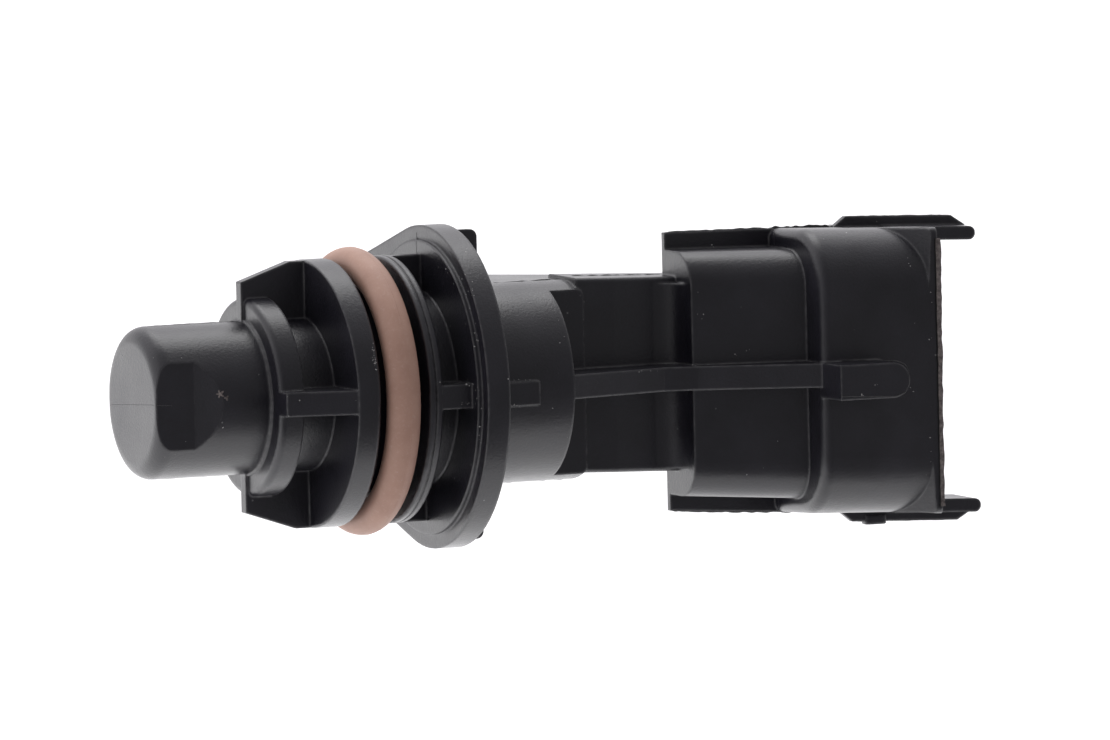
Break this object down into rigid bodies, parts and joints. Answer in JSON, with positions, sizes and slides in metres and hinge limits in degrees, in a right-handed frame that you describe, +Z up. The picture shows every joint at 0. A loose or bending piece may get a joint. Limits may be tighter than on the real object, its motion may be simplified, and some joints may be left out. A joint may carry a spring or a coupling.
{
  "type": "camshaft position sensor",
  "caption": "Plug-in camshaft position sensor with a round sensing nose, sealed pilot, mounting ear and in-line plug socket with contact blades.",
  "frame": {"origin": "on the sensor axis, in the plane in which the sensor seats on the engine", "axes": "-X along the sensor axis out of the sensing nose and +X out of the plug socket, +Y from the axis towards the bolt hole of the ear, +Z up"},
  "size_m": [0.0699, 0.0408, 0.0253],
  "materials": {
    "housing": "black glass-filled plastic, satin",
    "ring": "pinkish beige fluoro rubber, satin",
    "bush": "zinc plated steel",
    "carrier": "dark moulded plastic",
    "terminal": "tin plated brass",
    "chip": "black moulded chip body",
    "lead": "tinned lead",
    "pole": "soft iron",
    "magnet": "nickel plated",
    "capacitor": "ceramic, brown"
  },
  "bodies": {
    "root": {"housing": "housing", "o_ring": "ring", "mounting_bush": "bush", "chip_carrier": "carrier", "terminal_supply": "terminal", "terminal_ground": "terminal", "terminal_signal": "terminal", "hall_chip": "chip", "chip_lead_supply": "lead", "chip_lead_ground": "lead", "chip_lead_signal": "lead", "pole_plate": "pole", "bias_magnet": "magnet", "capacitor_supply": "capacitor", "capacitor_signal": "capacitor"}
  },
  "joints": []
}
